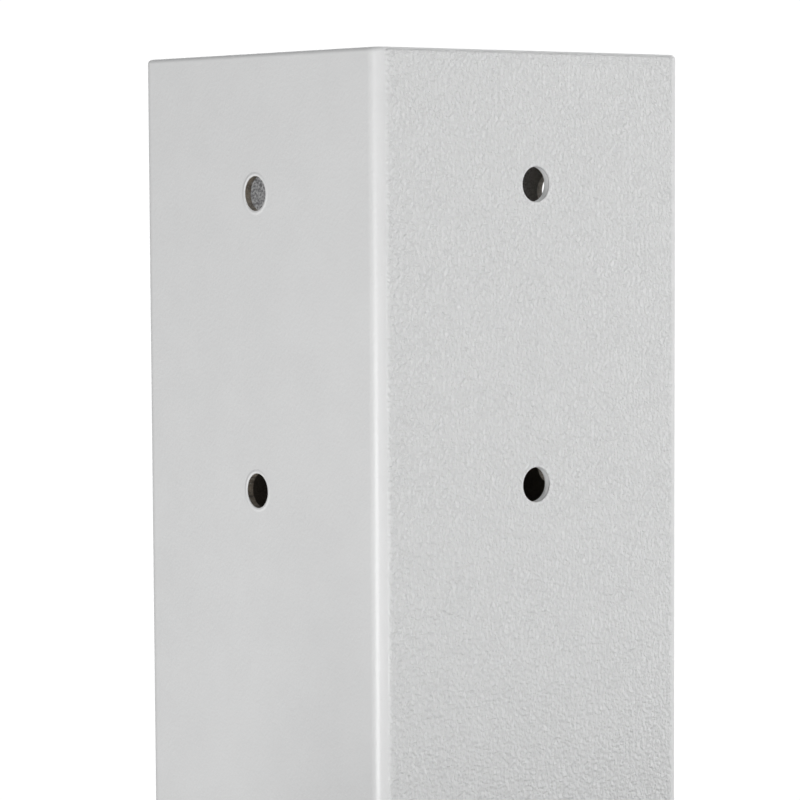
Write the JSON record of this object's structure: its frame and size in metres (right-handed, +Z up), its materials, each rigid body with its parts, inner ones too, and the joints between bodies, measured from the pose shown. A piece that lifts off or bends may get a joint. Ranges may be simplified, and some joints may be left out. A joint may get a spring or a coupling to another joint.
{
  "type": "signpost with sign",
  "caption": "Square hollow steel signpost on a ribbed base plate, with hole pairs at its open top and a framed arrow sign on rails.",
  "frame": {"origin": "centre of the base plate's underside, on the ground, on the post's axis", "axes": "+Z up along the post, -Y is the front that the sign faces, +X to the right of someone who reads the sign"},
  "size_m": [0.4524, 0.22, 2.2],
  "materials": {
    "post_coat": "light grey powder coat, fine orange peel, semi-gloss",
    "base_coat": "light grey powder coat over welded steel",
    "panel_aluminium": "mill-finish sheet",
    "blue_sheeting": "retroreflective sheeting, satin gloss",
    "white_sheeting": "retroreflective sheeting, satin gloss",
    "trim_aluminium": "satin anodised",
    "rail_aluminium": "extruded, die lines",
    "rivet_aluminium": "bright",
    "zinc_steel": "zinc plated",
    "black_plastic": "matte moulded",
    "nylon": "natural nylon",
    "pad_rubber": "matte rubber"
  },
  "bodies": {
    "root": {"post_tube": "post_coat", "base_plate": "base_coat", "gusset_front": "base_coat", "gusset_back": "base_coat", "gusset_left": "base_coat", "gusset_right": "base_coat", "base_weld": "base_coat", "gusset_welds": "base_coat", "sign_panel": "panel_aluminium", "face_film": "blue_sheeting", "border_film": "white_sheeting", "arrow_film": "white_sheeting", "edge_trim": "trim_aluminium", "trim_joiner": "trim_aluminium", "joiner_rivets": "rivet_aluminium", "upper_rail": "rail_aluminium", "lower_rail": "rail_aluminium", "upper_rail_rivets": "rivet_aluminium", "lower_rail_rivets": "rivet_aluminium", "upper_rail_cap_left": "black_plastic", "upper_rail_cap_right": "black_plastic", "lower_rail_cap_left": "black_plastic", "lower_rail_cap_right": "black_plastic", "upper_bolt": "zinc_steel", "lower_bolt": "zinc_steel", "upper_washer": "zinc_steel", "lower_washer": "zinc_steel", "upper_lock_nut": "zinc_steel", "lower_lock_nut": "zinc_steel", "upper_nut_insert": "nylon", "lower_nut_insert": "nylon", "upper_post_pad": "pad_rubber", "lower_post_pad": "pad_rubber"}
  },
  "joints": []
}
